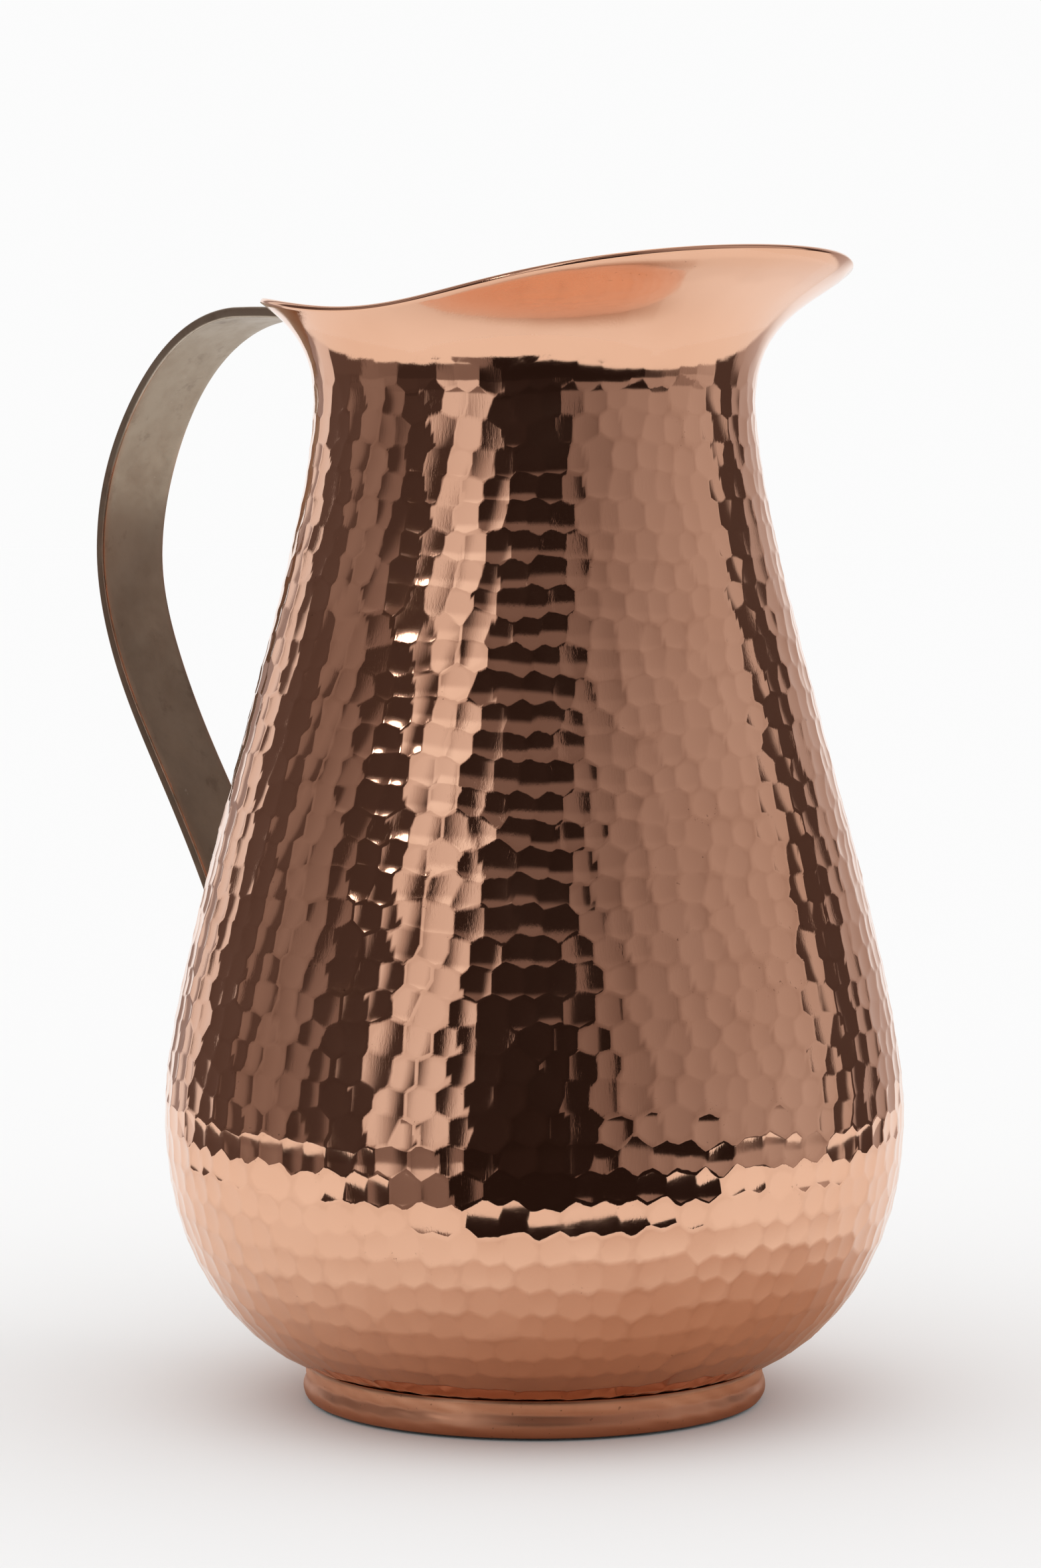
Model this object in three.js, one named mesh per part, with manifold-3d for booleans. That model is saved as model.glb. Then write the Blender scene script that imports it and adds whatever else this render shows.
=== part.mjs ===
// Hammered copper water jug: a raised copper body with a flared, swept mouth, a plain foot ring
// soldered underneath, and a flat strap handle held by two rivets at each end.
// Millimetres, +Z up. The jug stands on z = 0, its handle towards -X and its spout towards +X.
// The origin is the middle of the whole jug's bounding box at floor level.

import * as THREE from 'three';
import { mergeVertices } from 'three/addons/utils/BufferGeometryUtils.js';
import Module from 'manifold-3d';

// ---- driving dimensions ----
const JUG_HEIGHT = 237.2; // floor to the tip of the spout
const BELLY_RADIUS = 77; // widest part of the body
const NECK_RADIUS = 45.7; // narrowest part of the neck
const LIP_RADIUS = 72; // mouth at the tip of the spout
const FOOT_RADIUS = 48.5; // widest part of the foot ring
const BASE_RADIUS = FOOT_RADIUS - 8.9; // flat bottom of the body
const SHEET = 1.2; // copper sheet of the body
const STRAP_WIDTH = 19;
const STRAP_THICKNESS = 2.4;
const HANDLE_REACH = 122.8; // jug axis to the middle of the strap at its outermost point
const RIVET_SHANK_RADIUS = 2.25;
const GAP = 0.3; // clearance left between separate pieces
const TAB_GAP = 0.4; // clearance between the strap's tabs and the body

// ---- heights that follow the overall height ----
const BASE_Z = 6.3; // underside of the body's flat bottom
const BELLY_Z = JUG_HEIGHT * 0.253;
const NECK_Z = JUG_HEIGHT * 0.874;
const RIM_TILT = JUG_HEIGHT * 0.0163; // rim rises towards the spout
const RIM_SADDLE = JUG_HEIGHT * 0.0145; // rim rises at spout and handle, dips at the sides
const RIM_BEAK = JUG_HEIGHT * 0.0035; // rim lifts at the spout's tip and drops at the handle
const RIM_SHOULDERS = JUG_HEIGHT * 0.0032; // rim lifts a little between spout, sides and handle
const RIM_EDGE = SHEET * 0.72; // inner edge of the cut rim above its outer edge, at the spout
const RIM_MEAN = JUG_HEIGHT - RIM_EDGE - RIM_TILT - RIM_SADDLE - RIM_BEAK + RIM_SHOULDERS;
const FLARE_RISE = JUG_HEIGHT - NECK_Z;
const FLARE_SPREAD = LIP_RADIUS - NECK_RADIUS;

// ---- strap handle ----
const TAB_TOP_START = NECK_Z - 19.5; // free end of the tab on the neck
const TAB_TOP_LEAVE = NECK_Z + FLARE_RISE * 0.52; // the strap leaves the flare here
const TAB_LOW_LAND = BELLY_Z + 2; // the strap lands on the belly here
const TAB_LOW_END = BELLY_Z - 20; // free end of the tab on the belly
const SHOULDER_OUT = FLARE_SPREAD * 1.23; // neck wall to the start of the level run
const SHOULDER_Z = NECK_Z + FLARE_RISE * 0.669;
const OUTERMOST_Z = JUG_HEIGHT * 0.734;
const EDGE_BREAK = 0.5; // broken long edges of the strap
const TAB_CORNER = 4; // rounded corners at the two free ends

// ---- foot ring and its solder ----
const FOOT_WALL = 2.7;
const SOLDER_LEG = 2.3;

// ---- rivets: height on the body of each ----
const RIVET_HEIGHTS = {
  rivet_neck_upper: NECK_Z - 3,
  rivet_neck_lower: NECK_Z - 13.5,
  rivet_belly_upper: BELLY_Z - 4,
  rivet_belly_lower: BELLY_Z - 14,
};
const HEAD_RADIUS = 4.3;
const HEAD_RISE = 2;
const HEAD_SEAT = 0.45; // extra room under a head where the strap curves
const PEEN_RADIUS = 3.8;
const PEEN_RISE = 1.3;

// ---- fineness ----
const AROUND = 64;
const BOWL_STEPS = 9;
const SIDE_STEPS = 13;
const FLARE_STEPS = 9;

const wasm = await Module();
wasm.setup();

// The jug's axis stands off the origin, so that the bounding box of the whole jug is centred on it.
const AXIS_X = (HANDLE_REACH + STRAP_THICKNESS / 2 - BELLY_RADIUS) / 2;

// ---- body outline, as radius and height, from the middle of the bottom up to the lip ----
const point = (r, z) => new THREE.Vector2(r, z);
const outline = {
  bottom: new THREE.LineCurve(point(0, BASE_Z), point(BASE_RADIUS, BASE_Z)),
  bowl: new THREE.CubicBezierCurve(
    point(BASE_RADIUS, BASE_Z),
    point(BASE_RADIUS + (BELLY_RADIUS - BASE_RADIUS) * 0.4, BASE_Z),
    point(BELLY_RADIUS, BASE_Z + (BELLY_Z - BASE_Z) * 0.31),
    point(BELLY_RADIUS, BELLY_Z),
  ),
  side: new THREE.CubicBezierCurve(
    point(BELLY_RADIUS, BELLY_Z),
    point(BELLY_RADIUS, BELLY_Z + (NECK_Z - BELLY_Z) * 0.21),
    point(NECK_RADIUS, NECK_Z - (NECK_Z - BELLY_Z) * 0.2),
    point(NECK_RADIUS, NECK_Z),
  ),
  flare: new THREE.CubicBezierCurve(
    point(NECK_RADIUS, NECK_Z),
    point(NECK_RADIUS, NECK_Z + FLARE_RISE * 0.75),
    point(NECK_RADIUS + FLARE_SPREAD * 0.82, NECK_Z + FLARE_RISE * 0.68),
    point(NECK_RADIUS + FLARE_SPREAD * 1.16, NECK_Z + FLARE_RISE * 1.29),
  ),
};

// Place on a stretch of the outline, moved out of the wall by `out` along its outward normal.
function onOutline(curve, t, out = 0) {
  const place = curve.getPoint(t);
  const along = curve.getTangent(t);
  return { r: place.x + along.y * out, z: place.y - along.x * out, along };
}

// Parameter at which a stretch of the outline has a wanted height ('y') or radius ('x').
function findOn(curve, axis, wanted) {
  const rising = curve.getPoint(1)[axis] > curve.getPoint(0)[axis];
  let low = 0;
  let high = 1;
  for (let i = 0; i < 40; i += 1) {
    const middle = (low + high) / 2;
    if (curve.getPoint(middle)[axis] < wanted === rising) low = middle;
    else high = middle;
  }
  return (low + high) / 2;
}

// Place on the outside of the body at a height, moved out by `out`.
function onBody(height, out = 0) {
  let curve = outline.bowl;
  if (height > BELLY_Z) curve = outline.side;
  if (height > NECK_Z) curve = outline.flare;
  return onOutline(curve, findOn(curve, 'y', height), out);
}

function rimHeight(angle) {
  const lift = RIM_TILT * Math.cos(angle) + RIM_SADDLE * Math.cos(2 * angle);
  return RIM_MEAN + lift + RIM_BEAK * Math.cos(3 * angle) - RIM_SHOULDERS * Math.cos(4 * angle);
}

// ---- helpers for closed meshes ----
function geometryFrom(positions, triangles) {
  const geometry = new THREE.BufferGeometry();
  geometry.setAttribute('position', new THREE.Float32BufferAttribute(positions, 3));
  geometry.setIndex(triangles);
  return geometry;
}

function solidOf(geometry) {
  const bare = geometry.clone();
  bare.deleteAttribute('normal');
  bare.deleteAttribute('uv');
  const merged = mergeVertices(bare, 1e-4);
  return new wasm.Manifold(
    new wasm.Mesh({
      numProp: 3,
      vertProperties: new Float32Array(merged.attributes.position.array),
      triVerts: new Uint32Array(merged.index.array),
    }),
  );
}

function geometryOf(solid) {
  const mesh = solid.getMesh();
  return geometryFrom(mesh.vertProperties, Array.from(mesh.triVerts));
}

// Closed loop of [radius, height] points turned round the Z axis.
function turned(loop) {
  const closed = [...loop, loop[0]].map(([r, z]) => new THREE.Vector2(r, z));
  return new THREE.LatheGeometry(closed, AROUND).rotateX(Math.PI / 2);
}

// ---- body: outer skin from the middle of the bottom to the rim, then the inner skin back down ----
function bodyGeometry() {
  const stations = [];
  const skinStations = [
    [outline.bottom, 0.5],
    [outline.bottom, 1],
  ];
  for (let i = 1; i <= BOWL_STEPS; i += 1) skinStations.push([outline.bowl, i / BOWL_STEPS]);
  for (let i = 1; i <= SIDE_STEPS; i += 1) skinStations.push([outline.side, i / SIDE_STEPS]);
  for (let i = 1; i <= FLARE_STEPS; i += 1) skinStations.push([outline.flare, i / FLARE_STEPS]);
  skinStations.forEach(([curve, t]) => stations.push({ curve, t, out: 0 }));
  [...skinStations].reverse().forEach(([curve, t]) => stations.push({ curve, t, out: -SHEET }));

  const positions = [0, 0, BASE_Z];
  for (let i = 0; i < AROUND; i += 1) {
    const angle = (i / AROUND) * 2 * Math.PI;
    const rimAt = findOn(outline.flare, 'y', rimHeight(angle));
    stations.forEach(({ curve, t, out }) => {
      const place = onOutline(curve, curve === outline.flare ? t * rimAt : t, out);
      positions.push(place.r * Math.cos(angle), place.r * Math.sin(angle), place.z);
    });
  }
  positions.push(0, 0, BASE_Z + SHEET);

  const count = stations.length;
  const top = 1 + AROUND * count;
  const triangles = [];
  for (let i = 0; i < AROUND; i += 1) {
    const a = 1 + i * count;
    const b = 1 + ((i + 1) % AROUND) * count;
    triangles.push(0, b, a);
    for (let k = 0; k < count - 1; k += 1) {
      triangles.push(a + k, b + k, b + k + 1, a + k, b + k + 1, a + k + 1);
    }
    triangles.push(a + count - 1, b + count - 1, top);
  }
  return geometryFrom(positions, triangles);
}

// ---- foot ring: a plain band with a rolled lower edge and a shallow cove under the body ----
function footGeometry() {
  const inside = FOOT_RADIUS - FOOT_WALL;
  const edge = FOOT_RADIUS - 0.5;
  const seat = (r) => onOutline(outline.bowl, findOn(outline.bowl, 'x', r), GAP);
  const innerTop = seat(inside);
  const outerTop = seat(edge);
  const roll = [];
  for (let i = 0; i <= 4; i += 1) {
    const turn = (i / 4) * (Math.PI / 2);
    roll.push([FOOT_RADIUS - 1.2 + 1.2 * Math.sin(turn), 2.2 - 2.2 * Math.cos(turn)]);
  }
  return turned([
    [inside, 0],
    ...roll,
    [FOOT_RADIUS - 0.1, 3.6],
    [edge - 0.1, 4.8],
    [edge, outerTop.z],
    [inside, innerTop.z],
  ]);
}

// ---- solder: a coved fillet in the corner between the foot ring's inner wall and the body ----
function solderGeometry() {
  const wall = FOOT_RADIUS - FOOT_WALL - GAP;
  const under = (r) => onOutline(outline.bowl, findOn(outline.bowl, 'x', r), GAP).z;
  const corner = [wall, under(wall)];
  const reach = [wall - SOLDER_LEG, under(wall - SOLDER_LEG)];
  const foot = [wall, corner[1] - SOLDER_LEG];
  const cove = [wall - SOLDER_LEG * 0.3, corner[1] - SOLDER_LEG * 0.3];
  return turned([foot, corner, reach, cove]);
}

// ---- strap handle: the middle line of the strap, from its end on the neck to its end on the belly ----
function strapLine() {
  const lift = TAB_GAP + STRAP_THICKNESS / 2;
  const line = [];
  const add = (x, z, hug) => line.push({ x: -x, z, hug });
  const alongBody = (from, to, steps) => {
    for (let i = 0; i <= steps; i += 1) {
      const place = onBody(from + ((to - from) * i) / steps, lift);
      add(place.r, place.z, 1);
    }
  };
  const alongBezier = (points, steps, hugFrom, hugTo) => {
    const curve = new THREE.CubicBezierCurve(...points);
    for (let i = 1; i < steps; i += 1) {
      const t = i / steps;
      const place = curve.getPoint(t);
      add(place.x, place.y, THREE.MathUtils.lerp(hugFrom, hugTo, t));
    }
  };
  const leave = onBody(TAB_TOP_LEAVE, lift);
  const land = onBody(TAB_LOW_LAND, lift);
  const shoulder = point(NECK_RADIUS + SHOULDER_OUT, SHOULDER_Z);
  const outermost = point(HANDLE_REACH, OUTERMOST_Z);
  const levelRun = HANDLE_REACH - shoulder.x;
  const crown = SHOULDER_Z - OUTERMOST_Z;
  const drop = OUTERMOST_Z - land.z;

  alongBody(TAB_TOP_START, TAB_TOP_LEAVE, 12);
  alongBezier(
    [
      point(leave.r, leave.z),
      point(leave.r + leave.along.x * 5, leave.z + leave.along.y * 5),
      point(shoulder.x - FLARE_SPREAD * 0.68, SHOULDER_Z),
      shoulder,
    ],
    5, 1, 0,
  );
  alongBezier(
    [
      point(shoulder.x - 0.01, SHOULDER_Z),
      point(shoulder.x + levelRun * 0.57, SHOULDER_Z),
      point(HANDLE_REACH, OUTERMOST_Z + crown * 0.478),
      outermost,
    ],
    16, 0, 0,
  );
  add(outermost.x, outermost.y, 0);
  alongBezier(
    [
      outermost,
      point(HANDLE_REACH, OUTERMOST_Z - drop * 0.317),
      point(land.r + land.along.x * drop * 0.378, land.z + land.along.y * drop * 0.378),
      point(land.r, land.z),
    ],
    18, 0, 1,
  );
  alongBody(TAB_LOW_LAND, TAB_LOW_END, 7);
  return line;
}

// Section of the strap as [across, through] with broken edges; one unit of `half` is half its width.
function strapSection(half) {
  const through = STRAP_THICKNESS / 2;
  const flat = half - EDGE_BREAK;
  const across = [-1, -0.67, -0.33, 0, 0.33, 0.67, 1].map((k) => k * flat);
  return [
    ...across.map((y) => [y, through]),
    [half, through - EDGE_BREAK],
    [half, EDGE_BREAK - through],
    ...[...across].reverse().map((y) => [y, -through]),
    [-half, EDGE_BREAK - through],
    [-half, through - EDGE_BREAK],
  ];
}

function strapGeometry() {
  const line = strapLine();
  const last = line.length - 1;
  const distance = [0];
  for (let i = 1; i <= last; i += 1) {
    distance.push(distance[i - 1] + Math.hypot(line[i].x - line[i - 1].x, line[i].z - line[i - 1].z));
  }
  // half the width narrows over the rounded corners of each free end
  const halfAt = (i) => {
    const toEnd = Math.min(distance[i], distance[last] - distance[i]);
    const into = Math.max(0, TAB_CORNER - toEnd);
    return STRAP_WIDTH / 2 - TAB_CORNER + Math.sqrt(TAB_CORNER ** 2 - (into * 0.98) ** 2);
  };
  const positions = [];
  line.forEach(({ x, z, hug }, i) => {
    const before = line[Math.max(i - 1, 0)];
    const after = line[Math.min(i + 1, last)];
    const length = Math.hypot(after.x - before.x, after.z - before.z);
    const normal = { x: (after.z - before.z) / length, z: -(after.x - before.x) / length };
    strapSection(halfAt(i)).forEach(([y, through]) => {
      const px = x + normal.x * through;
      const pz = z + normal.z * through;
      // the tabs are bent across their width to the round of the body
      const round = Math.abs(px) - Math.sqrt(px ** 2 - y ** 2);
      positions.push(px + hug * round, y, pz);
    });
  });
  const size = strapSection(1).length;
  const triangles = [];
  for (let i = 0; i < last; i += 1) {
    for (let k = 0; k < size; k += 1) {
      const a = i * size + k;
      const b = i * size + ((k + 1) % size);
      triangles.push(a, b, b + size, a, b + size, a + size);
    }
  }
  // end caps in strips across the thickness, because the section is bowed
  for (let k = -1; k < size / 2 - 2; k += 1) {
    const [a, b, c, d] = [k, k + 1, size - 4 - k, size - 3 - k].map((j) => (j + size) % size);
    const end = last * size;
    triangles.push(a, c, b, a, d, c);
    triangles.push(end + a, end + b, end + c, end + a, end + c, end + d);
  }
  return geometryFrom(positions, triangles);
}

// ---- rivets: a domed head on the strap, a shank through strap and wall, a peened end inside ----
function domeAt(radius, rise, base, direction) {
  const arc = [];
  for (let i = 0; i <= 4; i += 1) {
    const turn = (i / 4) * (Math.PI / 2);
    arc.push([radius * Math.cos(turn), base + direction * rise * Math.sin(turn)]);
  }
  return arc;
}

function rivetGeometry() {
  const headBase = TAB_GAP + STRAP_THICKNESS + GAP + HEAD_SEAT;
  const peenBase = -(SHEET + GAP + HEAD_SEAT);
  const loop = [
    ...domeAt(PEEN_RADIUS, PEEN_RISE, peenBase, -1).reverse(),
    [RIVET_SHANK_RADIUS, peenBase],
    [RIVET_SHANK_RADIUS, headBase],
    ...domeAt(HEAD_RADIUS, HEAD_RISE, headBase, 1),
  ].map(([r, z]) => new THREE.Vector2(Math.max(r, 0), z));
  loop[0].x = 0;
  loop[loop.length - 1].x = 0;
  return new THREE.LatheGeometry(loop, 24).rotateX(Math.PI / 2);
}

// Moves a piece built along +Z so that it stands square on the handle side of the body at a height.
function standOnBody(geometry, height) {
  const place = onBody(height);
  const outward = new THREE.Vector3(-place.along.y, 0, -place.along.x).normalize();
  const turn = new THREE.Quaternion().setFromUnitVectors(new THREE.Vector3(0, 0, 1), outward);
  return geometry.applyQuaternion(turn).translate(-place.r, 0, place.z);
}

function drilled(geometry) {
  return Object.values(RIVET_HEIGHTS).reduce((solid, height) => {
    const drill = new THREE.CylinderGeometry(RIVET_SHANK_RADIUS + GAP, RIVET_SHANK_RADIUS + GAP, 12, 24);
    return solid.subtract(solidOf(standOnBody(drill.rotateX(Math.PI / 2), height)));
  }, solidOf(geometry));
}

// ---- the jug ----
const finishes = {
  copper: new THREE.MeshStandardMaterial({ color: 0xc07a50, roughness: 0.15, metalness: 1 }),
  satinCopper: new THREE.MeshStandardMaterial({ color: 0xb9744c, roughness: 0.4, metalness: 1 }),
  darkPatina: new THREE.MeshStandardMaterial({ color: 0x4d453d, roughness: 0.45, metalness: 0.9 }),
  rivetCopper: new THREE.MeshStandardMaterial({ color: 0xa5643f, roughness: 0.35, metalness: 1 }),
  solder: new THREE.MeshStandardMaterial({ color: 0xb4b2ab, roughness: 0.5, metalness: 1 }),
};

const jug = new THREE.Group();
jug.position.x = AXIS_X;

function addPiece(name, geometry, finish) {
  const piece = new THREE.Mesh(geometry, finish);
  piece.name = name;
  jug.add(piece);
}

addPiece('body_shell', geometryOf(drilled(bodyGeometry())), finishes.copper);
addPiece('foot_ring', footGeometry(), finishes.satinCopper);
addPiece('foot_solder_fillet', solderGeometry(), finishes.solder);
addPiece('handle_strap', geometryOf(drilled(strapGeometry())), finishes.darkPatina);
Object.entries(RIVET_HEIGHTS).forEach(([name, height]) => {
  addPiece(name, standOnBody(rivetGeometry(), height), finishes.rivetCopper);
});

const model = new THREE.Group();
model.add(jug);
export default model;
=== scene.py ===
# Hammered copper water jug: the finished looks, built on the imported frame.
# Metres, +Z up. The handle points towards -X and the spout towards +X.
import math

import bpy
import numpy as np
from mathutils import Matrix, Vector


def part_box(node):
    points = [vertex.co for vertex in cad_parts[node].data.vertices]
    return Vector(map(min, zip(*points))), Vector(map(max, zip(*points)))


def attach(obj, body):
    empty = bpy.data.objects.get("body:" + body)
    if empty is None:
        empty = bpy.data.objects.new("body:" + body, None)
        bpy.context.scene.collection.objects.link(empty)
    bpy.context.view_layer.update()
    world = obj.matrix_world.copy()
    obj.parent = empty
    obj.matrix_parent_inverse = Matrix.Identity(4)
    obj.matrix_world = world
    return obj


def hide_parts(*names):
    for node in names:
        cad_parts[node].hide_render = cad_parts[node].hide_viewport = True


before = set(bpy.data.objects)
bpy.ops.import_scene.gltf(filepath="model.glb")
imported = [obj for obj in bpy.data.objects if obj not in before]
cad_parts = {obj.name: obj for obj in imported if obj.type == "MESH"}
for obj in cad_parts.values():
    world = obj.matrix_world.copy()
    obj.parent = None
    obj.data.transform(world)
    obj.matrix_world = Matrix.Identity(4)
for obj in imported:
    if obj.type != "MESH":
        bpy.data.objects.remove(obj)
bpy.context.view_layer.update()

# ---- sizes taken from the frame ----
BODY_LOW, BODY_HIGH = (np.array(corner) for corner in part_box("body_shell"))
FOOT_LOW, FOOT_HIGH = (np.array(corner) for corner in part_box("foot_ring"))
STRAP_LOW, STRAP_HIGH = (np.array(corner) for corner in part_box("handle_strap"))
AXIS_X = (FOOT_LOW[0] + FOOT_HIGH[0]) / 2
HEIGHT = BODY_HIGH[2]
BASE_Z = BODY_LOW[2]
BELLY_R = (BODY_HIGH[1] - BODY_LOW[1]) / 2
FOOT_R = (FOOT_HIGH[0] - FOOT_LOW[0]) / 2
STRAP_WIDTH = STRAP_HIGH[1] - STRAP_LOW[1]

# ---- sizes of the sheet, the strap and the rivets ----
SHEET = 0.0012
STRAP_THICK = 0.0024
TAB_GAP = 0.0004
GAP = 0.0003
SHANK_R = 0.00225

# ---- proportions of the outline ----
BASE_R = FOOT_R - 0.0089
NECK_R = BELLY_R * 0.593506
LIP_R = BELLY_R * 0.935065
REACH = AXIS_X - STRAP_LOW[0] - STRAP_THICK / 2
BELLY_Z = HEIGHT * 0.253
NECK_Z = HEIGHT * 0.874
FLARE_RISE = HEIGHT - NECK_Z
FLARE_SPREAD = LIP_R - NECK_R
RIM_TILT = HEIGHT * 0.0163
RIM_SADDLE = HEIGHT * 0.0145
RIM_BEAK = HEIGHT * 0.0035
RIM_SHOULDERS = HEIGHT * 0.0032
RIM_MEAN = HEIGHT - SHEET * 0.72 - RIM_TILT - RIM_SADDLE - RIM_BEAK + RIM_SHOULDERS

# ---- hammer marks ----
ROW_PITCH = 0.0058
CELL_NECK = 0.0047
CELL_BELLY = 0.0060
MEAN_DEPTH = 0.00011
RIDGE_HEIGHT = 0.00022
DISH_UP = 0.026  # hollow of a mark along the outline, as a radius
DISH_ROUND = 0.025  # hollow of a mark round the jug, as a radius

COLUMNS = 480
SUB_ROWS = (0.0, 0.1, 0.5, 0.9)

rng = np.random.default_rng(11)


# ---------------------------------------------------------------- outline

def bezier(points, t):
    """Cubic curve through the plane: the four points weighted by the Bernstein polynomials of t."""
    a, b, c, d = (np.asarray(p, float) for p in points)
    t = np.atleast_1d(t)[:, None]
    return a * (1 - t) ** 3 + b * 3 * (1 - t) ** 2 * t + c * 3 * (1 - t) * t ** 2 + d * t ** 3


BOWL = [
    (BASE_R, BASE_Z),
    (BASE_R + (BELLY_R - BASE_R) * 0.4, BASE_Z),
    (BELLY_R, BASE_Z + (BELLY_Z - BASE_Z) * 0.31),
    (BELLY_R, BELLY_Z),
]
SIDE = [
    (BELLY_R, BELLY_Z),
    (BELLY_R, BELLY_Z + (NECK_Z - BELLY_Z) * 0.21),
    (NECK_R, NECK_Z - (NECK_Z - BELLY_Z) * 0.2),
    (NECK_R, NECK_Z),
]
FLARE = [
    (NECK_R, NECK_Z),
    (NECK_R, NECK_Z + FLARE_RISE * 0.75),
    (NECK_R + FLARE_SPREAD * 0.82, NECK_Z + FLARE_RISE * 0.68),
    (NECK_R + FLARE_SPREAD * 1.16, NECK_Z + FLARE_RISE * 1.29),
]


class Outline:
    """Bowl, side and flare joined end to end and measured by arc length from the bowl's start."""

    def __init__(self):
        t = np.linspace(0, 1, 1601)
        parts = [bezier(BOWL, t), bezier(SIDE, t)[1:], bezier(FLARE, t)[1:]]
        line = np.concatenate(parts)
        step = np.hypot(*np.diff(line, axis=0).T)
        self.s = np.concatenate([[0], np.cumsum(step)])
        self.r, self.z = line.T
        along = np.gradient(line, self.s, axis=0)
        along /= np.linalg.norm(along, axis=1)[:, None]
        self.ar, self.az = along.T

    def at(self, s):
        """Radius, height and the unit direction along the outline at arc length s."""
        return tuple(np.interp(s, self.s, v) for v in (self.r, self.z, self.ar, self.az))

    def s_at_height(self, z):
        """Arc length at which the outline reaches height z."""
        return np.interp(z, self.z, self.s)


outline = Outline()


def rim_height(angle):
    """Mean height, plus a tilt with cos(angle), a saddle with cos(2 angle), a beak with cos(3 angle)
    and less a share of cos(4 angle)."""
    lift = RIM_TILT * np.cos(angle) + RIM_SADDLE * np.cos(2 * angle)
    return RIM_MEAN + lift + RIM_BEAK * np.cos(3 * angle) - RIM_SHOULDERS * np.cos(4 * angle)


def on_body(z, out=0.0):
    """Radius and height of the outside of the body at height z, moved out along its normal."""
    r, height, ar, az = outline.at(outline.s_at_height(z))
    return r + az * out, height - ar * out, ar, az


# ---------------------------------------------------------------- hammer marks

def smooth(low, high, x):
    """0 below low, 1 above high, and the cubic 3u^2 - 2u^3 in between."""
    u = np.clip((x - low) / (high - low), 0, 1)
    return u * u * (3 - 2 * u)


class Marks:
    """Rows of shallow dished marks round the body. Each mark is the paraboloid
    up^2/(2 DISH_UP) + round^2/(2 DISH_ROUND) with a small tilt, and the wall is the lowest of them,
    so that neighbouring marks meet in soft ridges."""

    def __init__(self):
        self.first = np.interp(FOOT_R - 0.0035, outline.r[:1601], outline.s[:1601])
        last = outline.s_at_height(rim_height(math.pi / 2))
        self.rows = int(round((last - self.first) / ROW_PITCH))
        self.pitch = (last - self.first) / self.rows
        centres = self.first + (np.arange(self.rows) + 0.5) * self.pitch
        radius = outline.at(centres)[0]
        width = CELL_NECK + (CELL_BELLY - CELL_NECK) * (radius - NECK_R) / (BELLY_R - NECK_R)
        self.count = np.round(2 * np.pi * radius / width).astype(int)
        most = int(self.count.max())
        shape = (self.rows, most)
        self.start = np.cumsum(0.5 + rng.uniform(-0.22, 0.22, self.rows))
        self.aside = rng.uniform(-0.17, 0.17, shape)
        self.lift = rng.uniform(-0.10, 0.10, shape)
        self.dish = rng.uniform(0.75, 1.25, shape)
        self.lean_up = rng.normal(0, 0.018, shape)
        self.lean_round = rng.normal(0, 0.022, shape)
        self.depth = rng.normal(0, 0.000012, shape)

    def wave(self, k, angle):
        """Slow rise and fall of a row on its way round."""
        return (0.00055 * np.sin(3 * angle + 0.19 * k + 1.0)
                + 0.00040 * np.sin(5 * angle - 0.31 * k + 2.6)
                + 0.00025 * np.sin(11 * angle + 0.9 * k))

    def centre(self, k, angle):
        """Arc length of the middle of row k at an angle."""
        return self.first + (k + 0.5) * self.pitch + self.wave(k, angle)

    def row(self, k, s, angle):
        """The three nearest marks of row k, as heights over (s, angle)."""
        k = np.clip(k, 0, self.rows - 1)
        count = self.count[k]
        place = angle / (2 * np.pi) * count - self.start[k]
        nearest = np.round(place).astype(int)
        radius = np.interp(s, outline.s, outline.r)
        heights = []
        for step in (-1, 0, 1):
            j = (nearest + step) % count
            across = (place - nearest - step - self.aside[k, j]) * 2 * np.pi / count * radius
            up = s - self.centre(k, angle) - self.lift[k, j] * self.pitch
            dish = self.dish[k, j]
            heights.append(up ** 2 / (2 * DISH_UP) * dish + across ** 2 / (2 * DISH_ROUND) * dish
                           + self.lean_up[k, j] * up + self.lean_round[k, j] * across + self.depth[k, j])
        return np.stack(heights)

    def height(self, s, angle):
        """Soft minimum over the nine nearest marks."""
        k = np.floor((s - self.first - self.wave(0, angle)) / self.pitch).astype(int)
        every = np.concatenate([self.row(k + step, s, angle) for step in (-1, 0, 1)])
        softness = 0.000010
        lowest = every.min(axis=0)
        return lowest - softness * np.log(np.exp(-(every - lowest) / softness).sum(axis=0))

    def borders(self, angle):
        """Arc length of the ridge below each row and above the last, for every angle: where the
        heights of two neighbouring rows are the same."""
        share = np.linspace(0.15, 0.85, 71)[:, None, None]
        k = np.arange(self.rows - 1)[None, :, None]
        angles = angle[None, None, :] + np.zeros((71, self.rows - 1, 1))
        k = k + np.zeros(angles.shape, int)
        s = self.centre(k, angles) * (1 - share) + self.centre(k + 1, angles) * share
        apart = self.row(k, s, angles).min(axis=0) - self.row(k + 1, s, angles).min(axis=0)
        at = np.abs(apart).argmin(axis=0)
        inner = np.take_along_axis(s, at[None], axis=0)[0]
        low = np.full((1, len(angle)), self.first)
        return np.concatenate([low, inner])


marks = Marks()
TAB_TOP = (NECK_Z - 0.0195, NECK_Z + FLARE_RISE * 0.52)
TAB_LOW = (BELLY_Z - 0.020, BELLY_Z + 0.002)


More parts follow.
